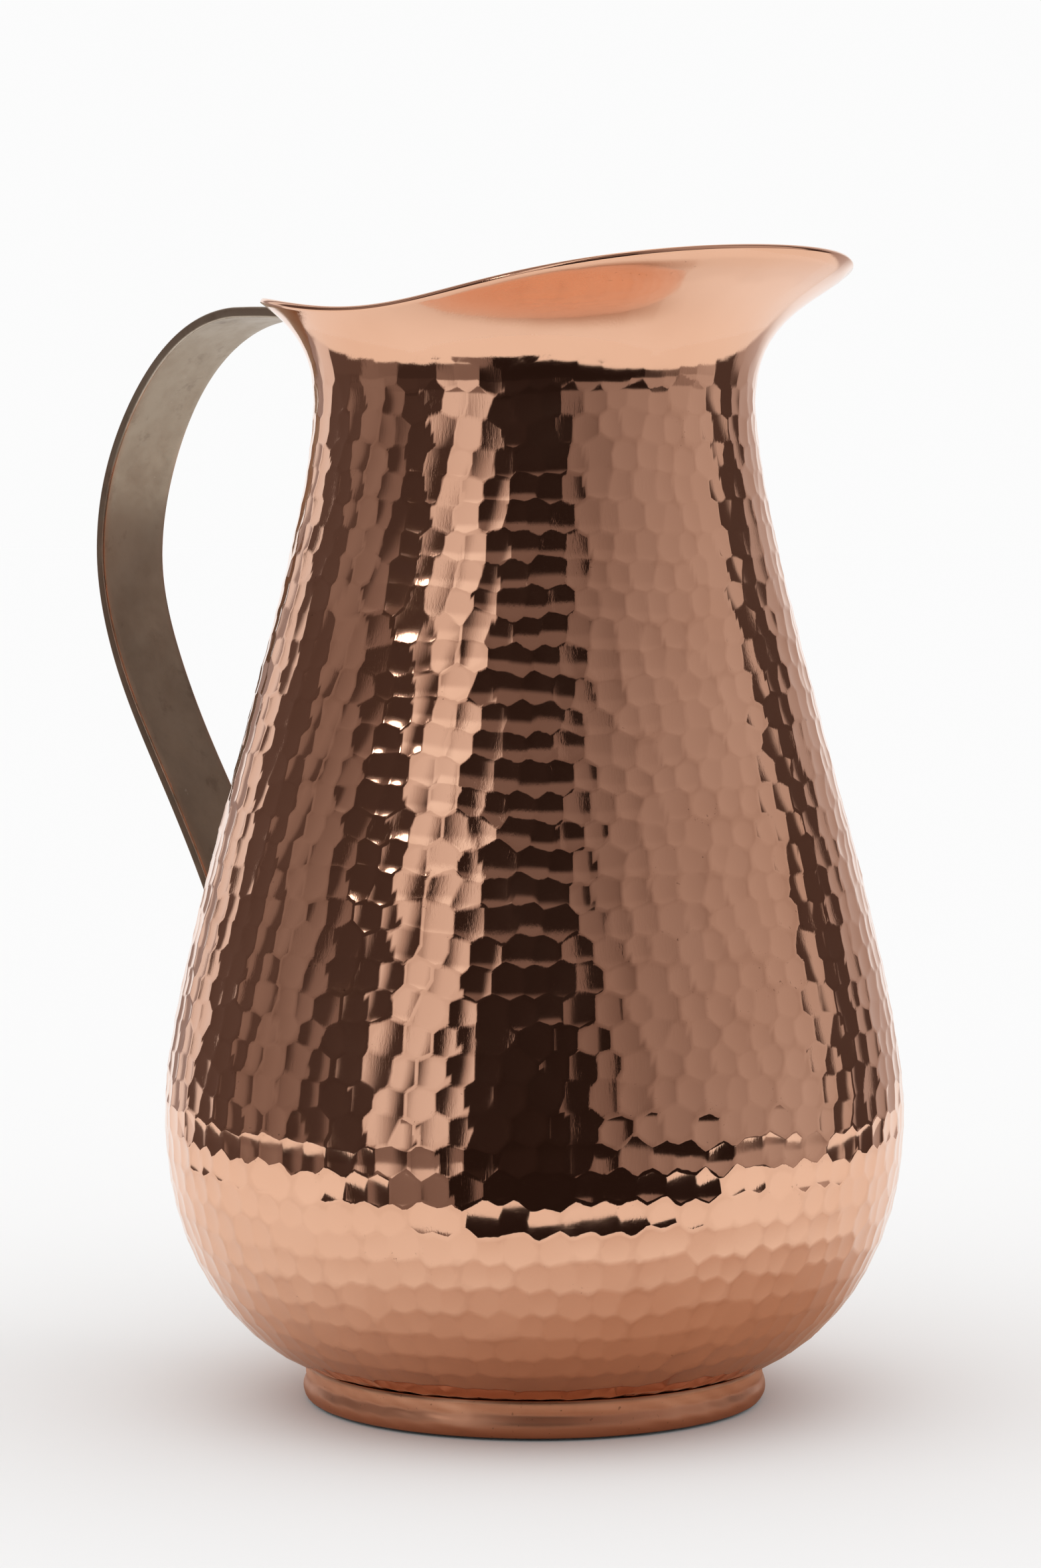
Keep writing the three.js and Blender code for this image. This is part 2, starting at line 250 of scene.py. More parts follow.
def strength(s, angle):
    """How deep the marks are: full on bowl and side, fading to a ghost on the flare and to nothing
    at the foot and the rim, and planished down where the strap's tabs are seated."""
    z = np.interp(s, outline.s, outline.z)
    full = smooth(marks.first, marks.first + 0.005, s)
    flare = 1 - 0.93 * smooth(NECK_Z - 0.002, NECK_Z + 0.011, z)
    rim_s = outline.s_at_height(rim_height(angle))
    rim = 1 - smooth(rim_s - 0.004, rim_s - 0.001, s)
    aside = np.abs(np.angle(np.exp(1j * (angle - np.pi)))) * np.interp(s, outline.s, outline.r)
    near = 1 - smooth(STRAP_WIDTH / 2 - 0.001, STRAP_WIDTH / 2 + 0.004, aside)
    tabs = (smooth(TAB_TOP[0] - 0.004, TAB_TOP[0], z)
            + smooth(TAB_LOW[0] - 0.004, TAB_LOW[0], z) * (1 - smooth(TAB_LOW[1], TAB_LOW[1] + 0.004, z)))
    return full * flare * rim * (1 - 0.75 * near * np.clip(tabs, 0, 1))


def wall(s, angle):
    """The hammered outside: the outline turned round the axis, moved out by strength * (marks - mean)."""
    r, z, ar, az = outline.at(s)
    out = strength(s, angle) * (marks.height(s, angle) - MEAN_DEPTH)
    r = r + az * out
    z = z - ar * out
    return np.stack([AXIS_X + r * np.cos(angle), r * np.sin(angle), z], axis=-1)


def wall_normal(s, angle):
    """Cross product of the wall's changes along the outline and round the axis."""
    e = 0.00006
    up = wall(s + e, angle) - wall(s - e, angle)
    around = wall(s, angle + e / 0.06) - wall(s, angle - e / 0.06)
    normal = np.cross(around, up)
    return normal / np.linalg.norm(normal, axis=-1, keepdims=True)


# ---------------------------------------------------------------- meshes

def grid_faces(rows, columns):
    """Quads between neighbouring rows of a grid stored row by row, closed round the columns."""
    row = np.arange(rows - 1)[:, None] * columns
    column = np.arange(columns)[None, :]
    following = (column + 1) % columns
    a = row + column
    b = row + following
    return np.stack([a, b, b + columns, a + columns], axis=-1).reshape(-1, 4)


def make_piece(name, points, quads, triangles=()):
    """Mesh object at the origin from arrays of points, quads and triangles."""
    quads = np.asarray(quads, np.int32).reshape(-1, 4)
    triangles = np.asarray(triangles, np.int32).reshape(-1, 3)
    mesh = bpy.data.meshes.new(name)
    mesh.vertices.add(len(points))
    mesh.vertices.foreach_set("co", np.asarray(points, np.float32).ravel())
    corners = np.concatenate([quads.ravel(), triangles.ravel()])
    mesh.loops.add(len(corners))
    mesh.loops.foreach_set("vertex_index", corners)
    starts = np.concatenate([
        np.arange(len(quads)) * 4,
        len(quads) * 4 + np.arange(len(triangles)) * 3,
    ])
    mesh.polygons.add(len(starts))
    mesh.polygons.foreach_set("loop_start", starts.astype(np.int32))
    mesh.update(calc_edges=True)
    mesh.validate()
    mesh.polygons.foreach_set("use_smooth", np.ones(len(starts), bool))
    piece = bpy.data.objects.new(name, mesh)
    bpy.context.scene.collection.objects.link(piece)
    return piece


def fan(centre, ring, outward):
    """Triangles from one point to a closed ring."""
    following = np.roll(ring, -1)
    centres = np.full(len(ring), centre)
    order = (centres, ring, following) if outward else (centres, following, ring)
    return np.stack(order, axis=-1)


def add_attribute(piece, name, values):
    """One number per vertex, read by the materials."""
    layer = piece.data.attributes.new(name, "FLOAT", "POINT")
    layer.data.foreach_set("value", np.asarray(values, np.float32))


def make_body():
    """One closed skin: the flat bottom, the hammered outside row by row, the cut rim with broken
    arrises, and the inside as the outline moved in by the sheet, down to the bottom again."""
    angle = -np.pi + np.arange(COLUMNS) * 2 * np.pi / COLUMNS
    cos, sin = np.cos(angle), np.sin(angle)
    rim_s = outline.s_at_height(rim_height(angle))

    def ring(r, z):
        r = r + np.zeros(COLUMNS)
        z = z + np.zeros(COLUMNS)
        return np.stack([AXIS_X + r * cos, r * sin, z], axis=-1)

    def offset(s, out):
        r, z, ar, az = outline.at(s)
        return ring(r + az * out, z - ar * out)

    bottom = [ring(BASE_R * 0.5, BASE_Z), ring(BASE_R, BASE_Z), offset(marks.first * 0.5, 0)]

    borders = marks.borders(angle)
    stations = [borders[k] + f * (borders[k + 1] - borders[k])
                for k in range(len(borders) - 1) for f in SUB_ROWS]
    # above the last whole ridge the rows follow the slanting rim
    top = np.minimum(borders[-1], rim_s - 0.0012)
    stations = [np.minimum(s, top - 0.00002 * (len(stations) - i)) for i, s in enumerate(stations)]
    stations += [top + f * (rim_s - 0.00025 - top) for f in np.linspace(0, 1, 9)]
    stations = np.array(stations)
    around = np.broadcast_to(angle, stations.shape)
    outside = wall(stations, around)

    rim = [offset(rim_s, -0.00025), offset(rim_s, 0.00025 - SHEET), offset(rim_s - 0.00025, -SHEET)]

    shares = np.linspace(0, 1, 18)[1:-1]
    inside = [offset((rim_s - 0.00025) * (1 - f ** 1.1), -SHEET) for f in shares]
    inside += [offset(0.0, -SHEET), ring(BASE_R * 0.5, BASE_Z + SHEET)]

    rows = np.concatenate([np.array(bottom), outside, np.array(rim), np.array(inside)])
    count = len(rows)
    points = rows.reshape(-1, 3)
    low = len(points)
    high = low + 1
    points = np.concatenate([points, [[AXIS_X, 0, BASE_Z], [AXIS_X, 0, BASE_Z + SHEET]]])
    quads = grid_faces(count, COLUMNS)
    first_ring = np.arange(COLUMNS)
    last_ring = (count - 1) * COLUMNS + np.arange(COLUMNS)
    triangles = np.concatenate([fan(low, first_ring, False), fan(high, last_ring, True)])
    piece = make_piece("copper_body", points, quads, triangles)

    ridge = np.zeros((count, COLUMNS))
    depth = marks.height(stations, around) * strength(stations, around)
    ridge[len(bottom):len(bottom) + len(stations)] = np.clip(depth / RIDGE_HEIGHT, 0, 1)
    add_attribute(piece, "ridge", np.concatenate([ridge.ravel(), [0, 0]]))

    normals = np.empty(len(points) * 3, np.float32)
    piece.data.vertices.foreach_get("normal", normals)
    normals = normals.reshape(-1, 3)
    start = len(bottom) * COLUMNS
    exact = wall_normal(stations, around).reshape(-1, 3)
    normals[start:start + len(exact) - COLUMNS] = exact[:-COLUMNS]
    piece.data.normals_split_custom_set_from_vertices(normals)
    return piece


def make_lathe(name, loop, columns, wobble=None):
    """Closed loop of (radius, height) turned round the jug's axis; wobble(angle, part) moves a point
    out by a small amount, where part runs from 0 to 1 round the loop."""
    loop = np.asarray(loop, float)
    angle = np.arange(columns) * 2 * np.pi / columns
    r = np.repeat(loop[:, 0][:, None], columns, axis=1)
    z = np.repeat(loop[:, 1][:, None], columns, axis=1)
    part = np.linspace(0, 1, len(loop), endpoint=False)[:, None]
    if wobble is not None:
        r = r + wobble(angle[None, :], part, z)
    points = np.stack([AXIS_X + r * np.cos(angle), r * np.sin(angle), z], axis=-1)
    rows = len(loop)
    quads = grid_faces(rows, columns)
    here = np.arange(columns)
    following = (here + 1) % columns
    last = (rows - 1) * columns
    seam = np.stack([last + here, last + following, following, here], axis=-1)
    return make_piece(name, points.reshape(-1, 3), np.concatenate([quads, seam]))


def seat(r, out=GAP):
    """Height of the body's underside at radius r, moved out by the gap."""
    s = np.interp(r, outline.r[:1601] + outline.az[:1601] * out, outline.s[:1601])
    _, z, ar, _ = outline.at(s)
    return z - ar * out


def make_foot():
    """Plain band: straight inner wall, flat bottom, rolled lower edge, a soft cove, and a top that
    follows the body. The outside wanders in and out by about a tenth of a millimetre."""
    inside = FOOT_R - 0.0027
    edge = FOOT_R - 0.0005
    turn = np.linspace(0, np.pi / 2, 9)
    roll = np.stack([FOOT_R - 0.0012 + 0.0012 * np.sin(turn), 0.0022 - 0.0022 * np.cos(turn)], axis=-1)
    cove = bezier([(FOOT_R, 0.0022), (FOOT_R, 0.0036), (edge - 0.0003, 0.0040), (edge - 0.0001, 0.0052)],
                  np.linspace(0, 1, 8)[1:])
    close = 0.00012
    top_z = seat(edge, close)
    upper = np.linspace([edge - 0.0001, 0.0052], [edge, top_z - 0.0002], 4)[1:]
    lip = np.array([[edge - 0.00015, top_z - 0.00005], [edge - 0.0008, seat(edge - 0.0008, close)]])
    top = np.array([[r, seat(r, close)] for r in np.linspace(edge - 0.0012, inside + 0.0002, 4)])
    down = np.linspace([inside, seat(inside) - 0.0002], [inside, 0.0002], 8)
    loop = np.concatenate([[[inside + 0.0002, 0.0]], roll, cove, upper, lip, top, down])

    def wobble(angle, part, z):
        outer = smooth(0.0, 0.08, part) * (1 - smooth(0.62, 0.70, part))
        slow = 0.00006 * np.sin(3 * angle + 1) + 0.00005 * np.sin(7 * angle + z * 900)
        fine = 0.00004 * np.sin(23 * angle + 5 * np.sin(4 * angle) + z * 2200)
        return outer * (slow + fine - 0.00008)

    return make_lathe("foot_band", loop, 320, wobble)


def make_solder():
    """Coved fillet in the corner of the ring and the body, with a lumpy run of solder on its face."""
    wall_r = FOOT_R - 0.0027 - GAP
    leg = 0.0023
    corner = seat(wall_r)
    curve = bezier([(wall_r, corner - leg), (wall_r - 0.0004, corner - 0.0011),
                    (wall_r - 0.0011, corner - 0.0004), (wall_r - leg, seat(wall_r - leg))],
                   np.linspace(0, 1, 9))
    top = np.linspace([wall_r - leg * 0.66, seat(wall_r - leg * 0.66)], [wall_r, corner], 3)
    side = np.linspace([wall_r, corner - leg * 0.33], [wall_r, corner - leg * 0.7], 2)
    loop = np.concatenate([side, curve, top])[::-1]

    def wobble(angle, part, z):
        face = smooth(0.22, 0.34, part) * (1 - smooth(0.72, 0.84, part))
        return -face * (0.00010 * (1 + np.sin(31 * angle + 4 * np.sin(5 * angle)))
                        + 0.00006 * (1 + np.sin(53 * angle)))

    return make_lathe("solder_run", loop, 256, wobble)


def strap_line():
    """Middle line of the strap as x (towards the handle), z and how far it is bent to the body."""
    lift = TAB_GAP + STRAP_THICK / 2

    def body_run(start, end, steps):
        r, z, _, _ = on_body(np.linspace(start, end, steps), lift)
        return np.stack([r, z, np.ones(steps)], axis=-1)

    def curve_run(points, steps, hug_from, hug_to):
        t = np.linspace(0, 1, steps + 1)[1:-1]
        return np.column_stack([bezier(points, t), hug_from + (hug_to - hug_from) * t])

    leave = [float(v) for v in on_body(TAB_TOP[1], lift)]
    land = [float(v) for v in on_body(TAB_LOW[1], lift)]
    shoulder = (NECK_R + FLARE_SPREAD * 1.23, NECK_Z + FLARE_RISE * 0.669)
    outermost = (REACH, HEIGHT * 0.734)
    level = REACH - shoulder[0]
    crown = shoulder[1] - outermost[1]
    drop = outermost[1] - land[1]
    return np.concatenate([
        body_run(TAB_TOP[0], TAB_TOP[1], 25),
        curve_run([(leave[0], leave[1]), (leave[0] + leave[2] * 0.005, leave[1] + leave[3] * 0.005),
                   (shoulder[0] - FLARE_SPREAD * 0.68, shoulder[1]), shoulder], 16, 1, 0),
        curve_run([shoulder, (shoulder[0] + level * 0.57, shoulder[1]),
                   (REACH, outermost[1] + crown * 0.478), outermost], 44, 0, 0),
        [[outermost[0], outermost[1], 0]],
        curve_run([outermost, (REACH, outermost[1] - drop * 0.317),
                   (land[0] + land[2] * drop * 0.378, land[1] + land[3] * drop * 0.378),
                   (land[0], land[1])], 64, 0, 1),
        body_run(TAB_LOW[1], TAB_LOW[0], 18),
    ])


def strap_section():
    """Rounded rectangle as across (-1..1 on the flats), a step outwards for the arris, and through."""
    half = STRAP_THICK / 2
    arris = 0.00055
    turn = np.linspace(0, np.pi / 2, 5)
    flats = np.linspace(-1, 1, 13)
    face = [(k, 0.0, half) for k in flats]
    near = [(1, arris * math.sin(a), half - arris + arris * math.cos(a)) for a in turn[1:]]
    under_near = [(1, arris * math.cos(a), -(half - arris) - arris * math.sin(a)) for a in turn[:-1]]
    back = [(-k, 0.0, -half) for k in flats]
    far = [(-1, -arris * math.sin(a), -(half - arris) - arris * math.cos(a)) for a in turn[1:]]
    over_far = [(-1, -arris * math.cos(a), half - arris + arris * math.sin(a)) for a in turn[:-1]]
    return np.array(face + near + under_near + back + far + over_far), arris


def make_strap():
    """Flat bar carried along the middle line: each section stands square to the line, its width
    narrows round the corners of both tabs, and the tabs are bent to the round of the body."""
    line = strap_line()
    x, z, hug = line.T
    x = -x
    step = np.hypot(np.diff(x), np.diff(z))
    run = np.concatenate([[0], np.cumsum(step)])
    dx, dz = np.gradient(x, run), np.gradient(z, run)
    length = np.hypot(dx, dz)
    nx, nz = dz / length, -dx / length
    to_end = np.minimum(run, run[-1] - run)
    corner = 0.004
    into = np.maximum(0, corner - to_end)
    half = STRAP_WIDTH / 2 - corner + np.sqrt(corner ** 2 - (into * 0.98) ** 2)
    free = smooth(0, 1, 1 - hug)
    half = half - free * 0.00012 * (1 + np.sin(run * 95) * np.cos(run * 41 + 1))
    section, arris = strap_section()
    share, beside, through = section.T
    sway = free[:, None] * 0.00010 * np.sin(run[:, None] * 130 + share[None, :] * 2.5)
    across = (half[:, None] - arris) * share[None, :] + beside[None, :]
    px = x[:, None] + nx[:, None] * (through[None, :] + sway)
    pz = z[:, None] + nz[:, None] * (through[None, :] + sway)
    bend = np.abs(px) - np.sqrt(np.maximum(px ** 2 - across ** 2, 0))
    points = np.stack([AXIS_X + px + hug[:, None] * bend, across, pz], axis=-1)
    rows, columns = points.shape[:2]
    quads = grid_faces(rows, columns)[:, ::-1]
    flat = points.reshape(-1, 3)
    caps = []
    for at, outward in ((0, True), (rows - 1, False)):
        index = np.arange(columns) + at * columns
        upper = index[:13]
        lower = index[21:34][::-1]
        strip = np.stack([upper[:-1], upper[1:], lower[1:], lower[:-1]], axis=-1)
        near = index[12:22]
        far = np.concatenate([index[33:], index[:1]])
        caps.append((strip, near, far, outward))
    quads_caps, triangles = [], []
    for strip, near, far, outward in caps:
        quads_caps.append(strip if outward else strip[:, ::-1])
        for side in (near, far):
            tri = np.stack([np.full(len(side) - 2, side[0]), side[1:-1], side[2:]], axis=-1)
            triangles.append(tri if outward else tri[:, ::-1])
    piece = make_piece("strap_handle", flat, np.concatenate([quads] + quads_caps), np.concatenate(triangles))

    edge = np.clip(1 - np.abs(np.abs(beside) - arris * 0.5) / (arris * 0.55), 0, 1) * (np.abs(share) == 1)
    inner = (through < 0)
    add_attribute(piece, "arris", np.tile(edge * np.where(inner, 1.0, 0.55), rows))
    along = piece.data.uv_layers.new(name="strap")
    corners = np.empty(len(piece.data.loops), np.int32)
    piece.data.loops.foreach_get("vertex_index", corners)
    uv = np.stack([across.ravel()[corners], np.repeat(run, columns)[corners]], axis=-1)
    along.data.foreach_set("uv", uv.astype(np.float32).ravel())
    return piece


def make_rivet(name, height, seed):
    """Domed head, shank and peened end as one turned piece, stood square on the body at a height.
    The domes carry a few small flats from the hammer."""
    head_base = TAB_GAP + STRAP_THICK + GAP + 0.00045
    peen_base = -(SHEET + GAP + 0.00045)
    turn = np.linspace(0, np.pi / 2, 9)[::-1]
    peen = [(0.0038 * math.cos(a), peen_base - 0.0013 * math.sin(a)) for a in turn[1:]]
    head = [(0.0043 * math.cos(a), head_base + 0.0020 * math.sin(a)) for a in turn[::-1][:-1]]
    shank = [(0.0036, peen_base), (SHANK_R, peen_base), (SHANK_R, head_base), (0.0041, head_base)]
    loop = np.array(peen + shank + head)
    columns = 48
    angle = np.arange(columns) * 2 * np.pi / columns
    r = np.repeat(loop[:, :1], columns, axis=1)
    z = np.repeat(loop[:, 1:], columns, axis=1)
    flats = np.cos(3 * angle + seed) * np.sin(r * 1500 + seed) * 0.00005
    on_head = z > head_base + 0.0003
    on_peen = z < peen_base - 0.0003
    z = z + np.where(on_head, flats - 0.00005, 0) + np.where(on_peen, flats + 0.00005, 0)
    local = np.stack([r * np.cos(angle), r * np.sin(angle), z], axis=-1).reshape(-1, 3)
    ends = np.array([[0, 0, peen_base - 0.0013], [0, 0, head_base + 0.0020 - 0.00005]])
    local = np.concatenate([local, ends])
    body_r, body_z, ar, az = (float(v) for v in on_body(height))
    out = np.array([-az, 0, -ar])
    side = np.array([0.0, 1.0, 0.0])
    other = np.cross(out, side)
    points = local[:, :1] * side + local[:, 1:2] * other + local[:, 2:] * out
    flip = np.dot(np.cross(side, other), out) < 0
    points = points + np.array([AXIS_X - body_r, 0, body_z])
    rows = len(loop)
    quads = grid_faces(rows, columns)
    triangles = np.concatenate([
        fan(rows * columns, np.arange(columns), False),
        fan(rows * columns + 1, (rows - 1) * columns + np.arange(columns), True),
    ])
    if flip:
        quads, triangles = quads[:, ::-1], triangles[:, ::-1]
    return make_piece(name, points, quads, triangles)


# ---------------------------------------------------------------- materials

class Nodes:
    """Short helper that adds and joins the nodes of one material."""

    def __init__(self, name):
        self.material = bpy.data.materials.new(name)
        self.material.use_nodes = True
        self.tree = self.material.node_tree
        self.tree.nodes.clear()
        self.out = self.add("ShaderNodeOutputMaterial")
        self.shader = self.add("ShaderNodeBsdfPrincipled")
        self.join(self.shader.outputs[0], self.out.inputs["Surface"])
        self.place = self.add("ShaderNodeTexCoord").outputs["Object"]

    def add(self, kind, **settings):
        node = self.tree.nodes.new(kind)
        for key, value in settings.items():
            setattr(node, key, value)
        return node

    def join(self, source, target):
        self.tree.links.new(source, target)

    def stretched(self, scale, turn=(0, 0, 0), source=None):
        node = self.add("ShaderNodeMapping")
        node.inputs["Scale"].default_value = scale
        node.inputs["Rotation"].default_value = turn
        self.join(source or self.place, node.inputs["Vector"])
        return node.outputs[0]

    def noise(self, scale, detail=2.0, rough=0.5, source=None, distortion=0.0):
        node = self.add("ShaderNodeTexNoise")
        node.inputs["Scale"].default_value = scale
        node.inputs["Detail"].default_value = detail
        node.inputs["Roughness"].default_value = rough
        node.inputs["Distortion"].default_value = distortion
        self.join(source or self.place, node.inputs["Vector"])
        return node.outputs["Fac"]

    def cells(self, scale, feature="F1", source=None):
        node = self.add("ShaderNodeTexVoronoi", feature=feature)
        node.inputs["Scale"].default_value = scale
        self.join(source or self.place, node.inputs["Vector"])
        return node.outputs["Distance"]

    def attribute(self, name):
        return self.add("ShaderNodeAttribute", attribute_name=name).outputs["Fac"]

    def spread(self, source, low, high, to_low=0.0, to_high=1.0):
        node = self.add("ShaderNodeMapRange")
        node.interpolation_type = "SMOOTHSTEP"
        for key, value in (("From Min", low), ("From Max", high), ("To Min", to_low), ("To Max", to_high)):
            node.inputs[key].default_value = value
        self.join(source, node.inputs["Value"])
        return node.outputs["Result"]

    def calc(self, kind, a, b):
        node = self.add("ShaderNodeMath", operation=kind)
        for socket, value in zip(node.inputs, (a, b)):
            if isinstance(value, (int, float)):
                socket.default_value = value
            else:
                self.join(value, socket)
        return node.outputs[0]

    def mix(self, factor, a, b):
        node = self.add("ShaderNodeMix", data_type="RGBA")
        self.join(factor, node.inputs["Factor"])
        for socket, value in ((node.inputs["A"], a), (node.inputs["B"], b)):
            if isinstance(value, tuple):
                socket.default_value = (*value, 1)
            else:
                self.join(value, socket)
        return node.outputs["Result"]

    def bump(self, height, distance, strength=1.0, after=None):
        node = self.add("ShaderNodeBump")
        node.inputs["Strength"].default_value = strength
        node.inputs["Distance"].default_value = distance
        self.join(height, node.inputs["Height"])
        if after is not None:
            self.join(after, node.inputs["Normal"])
        return node.outputs[0]


def polished_copper():
    """Bright planished copper: warm tone drifting slowly, fine wiping scratches in two directions,
    a duller haze in patches, faint ghost marks, specks of tarnish held in the ridges, and painted shade
    darkening the ridges a little."""
    n = Nodes("polished_copper")
    n.shader.inputs["Metallic"].default_value = 1.0
    drift = n.spread(n.noise(22, 3, 0.6), 0.3, 0.7)
    tone = n.mix(drift, (0.86, 0.515, 0.355), (0.82, 0.475, 0.32))
    ridge = n.attribute("ridge")
    grains = n.spread(n.noise(1400, 2, 0.6), 0.66, 0.74)
    clusters = n.spread(n.noise(60, 2, 0.6), 0.52, 0.66)
    specks = n.calc("MULTIPLY", n.calc("MULTIPLY", grains, clusters), n.spread(ridge, 0.35, 0.8))
    tone = n.mix(n.calc("MULTIPLY", specks, 0.7), tone, (0.16, 0.075, 0.045))
    # painted shade: the tone is darkened a little along the raised ridges between the marks, to draw their
    # outlines
    tone = n.mix(n.calc("MULTIPLY", n.spread(ridge, 0.6, 1.0), 0.16), tone, (0.52, 0.26, 0.16))
    n.join(tone, n.shader.inputs["Base Color"])
    haze = n.spread(n.noise(30, 4, 0.65, distortion=0.6), 0.45, 0.75, 0.055, 0.12)
    wiped = n.noise(1, 3, 0.7, n.stretched((900, 900, 3800), (0.5, 0.3, 0.2)))
    n.join(n.calc("ADD", haze, n.spread(wiped, 0.5, 0.8, 0.0, 0.05)), n.shader.inputs["Roughness"])
    swept = n.noise(1, 2, 0.6, n.stretched((2300, 2300, 210), (0.16, 0.12, 0)))
    crossed = n.noise(1, 2, 0.6, n.stretched((2900, 2300, 420), (0.55, 0.4, 0.4)))
    brushed = n.spread(n.noise(75, 2, 0.6), 0.45, 0.62, 0.15, 1.0)
    both = n.calc("ADD", n.spread(swept, 0.40, 0.65), n.spread(crossed, 0.50, 0.75))
    lines = n.calc("MULTIPLY", both, brushed)
    ghost = n.cells(190, "SMOOTH_F1")
    first = n.bump(ghost, 0.00006, 0.35)
    n.join(n.bump(lines, 0.000005, 0.55, first), n.shader.inputs["Normal"])
    return n.material


def satin_copper():
    """Foot band: brushed round, duller and redder than the body, its lower part painted darker as painted
    shade so that it reads lighter along its top, and a dark brown line of painted shade in the seam under
    the body."""
    n = Nodes("satin_copper")
    n.shader.inputs["Metallic"].default_value = 1.0
    split = n.add("ShaderNodeSeparateXYZ")
    n.join(n.place, split.inputs[0])
    # painted shade: the band is painted darker and redder below its top, so that it reads lighter along its
    # top
    low = n.spread(split.outputs["Z"], 0.0042, 0.0056, 1.0, 0.0)
    blotch = n.spread(n.noise(70, 4, 0.6), 0.35, 0.7)
    tone = n.mix(blotch, (0.84, 0.48, 0.31), (0.76, 0.41, 0.26))
    tone = n.mix(n.calc("MULTIPLY", low, 0.7), tone, (0.60, 0.29, 0.18))
    specks = n.spread(n.noise(900, 2, 0.6), 0.68, 0.74)
    # painted shade: the top of the band, in the seam under the body, is painted dark brown
    seam = n.spread(split.outputs["Z"], 0.0064, 0.0074)
    tone = n.mix(n.calc("MULTIPLY", seam, 0.55), tone, (0.22, 0.11, 0.065))
    tone = n.mix(n.calc("MULTIPLY", specks, 0.5), tone, (0.20, 0.10, 0.06))
    n.join(tone, n.shader.inputs["Base Color"])
    n.join(n.spread(n.noise(120, 4, 0.7), 0.3, 0.7, 0.34, 0.46), n.shader.inputs["Roughness"])
    brushed = n.noise(1, 3, 0.7, n.stretched((260, 260, 4200)))
    n.join(n.bump(brushed, 0.000008, 0.7), n.shader.inputs["Normal"])
    return n.material


def dark_patina():
    """Strap: brown-grey patina, painted lighter and greyer towards the top as a painted reflection, with
    cloudy patches, long drawing lines, short scratches and pale spots; the arrises are rubbed back to copper
    lower down and painted pale at the top as a painted highlight."""
    n = Nodes("dark_patina")
    n.shader.inputs["Metallic"].default_value = 1.0
    along = n.add("ShaderNodeUVMap", uv_map="strap").outputs[0]
    cloud = n.spread(n.noise(45, 5, 0.65), 0.3, 0.72)
    split = n.add("ShaderNodeSeparateXYZ")
    n.join(n.place, split.inputs[0])
    height = split.outputs["Z"]
    tone = n.mix(cloud, (0.265, 0.203, 0.148), (0.335, 0.262, 0.193))
    # painted reflection: the patina is painted lighter and greyer towards the top of the strap
    tone = n.mix(n.spread(height, 0.150, 0.222, 0.0, 0.75), tone, (0.44, 0.365, 0.285))
    stain = n.spread(n.noise(140, 4, 0.7), 0.55, 0.75)
    tone = n.mix(n.calc("MULTIPLY", stain, 0.45), tone, (0.16, 0.11, 0.08))
    worn_noise = n.noise(1, 4, 0.75, n.stretched((900, 110, 1), source=along))
    arris_wear_and_highlight = n.calc("MULTIPLY", n.attribute("arris"), n.spread(worn_noise, 0.38, 0.55))
    # the arrises show copper wear lower down and a pale painted highlight at the top
    copper_wear_and_pale_highlight = n.mix(n.spread(height, 0.190, 0.214), (0.74, 0.37, 0.235), (0.66, 0.59, 0.50))
    tone = n.mix(arris_wear_and_highlight, tone, copper_wear_and_pale_highlight)
    scratch = n.noise(1, 2, 0.6, n.stretched((420, 5200, 1), (0, 0, 0.12), along))
    nick = n.calc("MULTIPLY", n.spread(scratch, 0.70, 0.76), n.spread(n.noise(80, 2, 0.6), 0.52, 0.62))
    spots = n.spread(n.noise(520, 2, 0.6), 0.73, 0.78)
    tone = n.mix(n.calc("MULTIPLY", n.calc("MAXIMUM", nick, spots), 0.45), tone, (0.50, 0.42, 0.34))
    n.join(tone, n.shader.inputs["Base Color"])
    rough = n.spread(n.noise(150, 4, 0.7), 0.3, 0.7, 0.34, 0.47)
    n.join(n.calc("SUBTRACT", rough, n.calc("MULTIPLY", arris_wear_and_highlight, 0.12)), n.shader.inputs["Roughness"])
    drawn = n.noise(1, 3, 0.7, n.stretched((5200, 130, 1), source=along))
    first = n.bump(drawn, 0.000010, 0.7)
    n.join(n.bump(n.noise(900, 3, 0.6), 0.000012, 0.6, first), n.shader.inputs["Normal"])
    return n.material


def rivet_copper():
    """Rivets: hammered copper gone brown, in blotches of two tones."""
    n = Nodes("rivet_copper")
    n.shader.inputs["Metallic"].default_value = 1.0
    blotch = n.spread(n.noise(420, 4, 0.6), 0.35, 0.65)
    tone = n.mix(blotch, (0.62, 0.33, 0.215), (0.40, 0.215, 0.145))
    n.join(tone, n.shader.inputs["Base Color"])
    n.join(n.spread(n.noise(700, 3, 0.6), 0.3, 0.7, 0.26, 0.42), n.shader.inputs["Roughness"])
    n.join(n.bump(n.noise(1300, 3, 0.6), 0.00003, 0.6), n.shader.inputs["Normal"])
    return n.material


def dull_solder():
    """Soft solder: grey, grainy, with copper-stained patches."""
    n = Nodes("dull_solder")
    n.shader.inputs["Metallic"].default_value = 1.0
    stain = n.spread(n.noise(160, 4, 0.6), 0.5, 0.75)
    tone = n.mix(stain, (0.52, 0.51, 0.48), (0.42, 0.30, 0.22))
    n.join(tone, n.shader.inputs["Base Color"])
    n.join(n.spread(n.noise(500, 3, 0.6), 0.3, 0.7, 0.42, 0.62), n.shader.inputs["Roughness"])
    n.join(n.bump(n.noise(800, 4, 0.6), 0.00005, 0.7), n.shader.inputs["Normal"])
    return n.material


